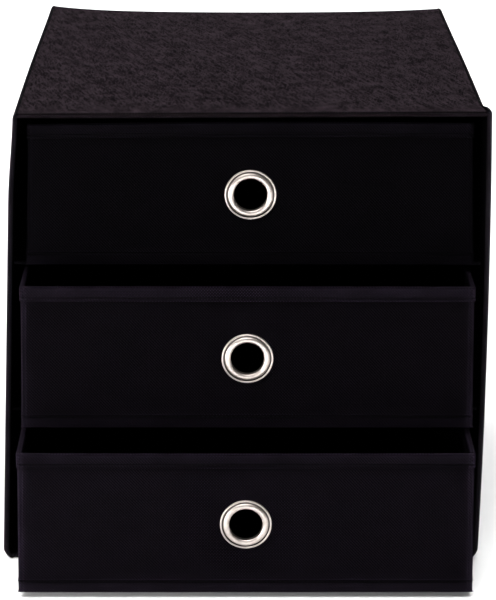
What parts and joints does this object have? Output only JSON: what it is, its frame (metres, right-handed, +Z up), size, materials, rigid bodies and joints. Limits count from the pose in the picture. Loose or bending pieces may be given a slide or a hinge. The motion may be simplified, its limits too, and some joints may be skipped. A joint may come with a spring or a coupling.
{
  "type": "fabric storage cube with drawers",
  "caption": "Open-fronted cube of board-stiffened non-woven fabric, with stacked drawers that slide out by a round metal eyelet.",
  "frame": {"origin": "middle of the case's underside, on the surface that the cube stands on", "axes": "+Z up, -Y out of the open front that the drawers slide through, +X to the right seen from the front"},
  "size_m": [0.32, 0.3858, 0.32],
  "materials": {
    "case_fabric": "matte spunbonded non-woven, fibrous, with a faint sheen",
    "shelf_fabric": "matte spunbonded non-woven",
    "drawer_fabric": "matte non-woven, embossed with a fine diamond grid of points",
    "drawer_floor_fabric": "matte non-woven, embossed with a fine diamond grid of points",
    "greyboard": "uncoated recycled greyboard",
    "eyelet_metal": "satin nickel plate"
  },
  "bodies": {
    "case": {"case_left_cover": "case_fabric", "case_left_board": "greyboard", "case_right_cover": "case_fabric", "case_right_board": "greyboard", "case_top_cover": "case_fabric", "case_top_board": "greyboard", "case_base_cover": "case_fabric", "case_base_board": "greyboard", "case_back_cover": "case_fabric", "case_back_board": "greyboard", "lower_shelf_cover": "shelf_fabric", "lower_shelf_board": "greyboard", "upper_shelf_cover": "shelf_fabric", "upper_shelf_board": "greyboard"},
    "bottom_drawer": {"bottom_drawer_front_cover": "drawer_fabric", "bottom_drawer_front_board": "greyboard", "bottom_drawer_back_cover": "drawer_fabric", "bottom_drawer_back_board": "greyboard", "bottom_drawer_left_cover": "drawer_fabric", "bottom_drawer_left_board": "greyboard", "bottom_drawer_right_cover": "drawer_fabric", "bottom_drawer_right_board": "greyboard", "bottom_drawer_base_cover": "drawer_floor_fabric", "bottom_drawer_insert_cover": "drawer_floor_fabric", "bottom_drawer_insert_board": "greyboard", "bottom_drawer_eyelet": "eyelet_metal", "bottom_drawer_eyelet_washer": "eyelet_metal"},
    "middle_drawer": {"middle_drawer_front_cover": "drawer_fabric", "middle_drawer_front_board": "greyboard", "middle_drawer_back_cover": "drawer_fabric", "middle_drawer_back_board": "greyboard", "middle_drawer_left_cover": "drawer_fabric", "middle_drawer_left_board": "greyboard", "middle_drawer_right_cover": "drawer_fabric", "middle_drawer_right_board": "greyboard", "middle_drawer_base_cover": "drawer_floor_fabric", "middle_drawer_insert_cover": "drawer_floor_fabric", "middle_drawer_insert_board": "greyboard", "middle_drawer_eyelet": "eyelet_metal", "middle_drawer_eyelet_washer": "eyelet_metal"},
    "top_drawer": {"top_drawer_front_cover": "drawer_fabric", "top_drawer_front_board": "greyboard", "top_drawer_back_cover": "drawer_fabric", "top_drawer_back_board": "greyboard", "top_drawer_left_cover": "drawer_fabric", "top_drawer_left_board": "greyboard", "top_drawer_right_cover": "drawer_fabric", "top_drawer_right_board": "greyboard", "top_drawer_base_cover": "drawer_floor_fabric", "top_drawer_insert_cover": "drawer_floor_fabric", "top_drawer_insert_board": "greyboard", "top_drawer_eyelet": "eyelet_metal", "top_drawer_eyelet_washer": "eyelet_metal"}
  },
  "joints": [
    {"name": "bottom_drawer_slide", "type": "slide", "parent": "case", "child": "bottom_drawer", "axis": [0, -1, 0], "range_m": [-0.065, 0.235]},
    {"name": "middle_drawer_slide", "type": "slide", "parent": "case", "child": "middle_drawer", "axis": [0, -1, 0], "range_m": [-0.03, 0.27]},
    {"name": "top_drawer_slide", "type": "slide", "parent": "case", "child": "top_drawer", "axis": [0, -1, 0], "range_m": [0, 0.3]}
  ]
}
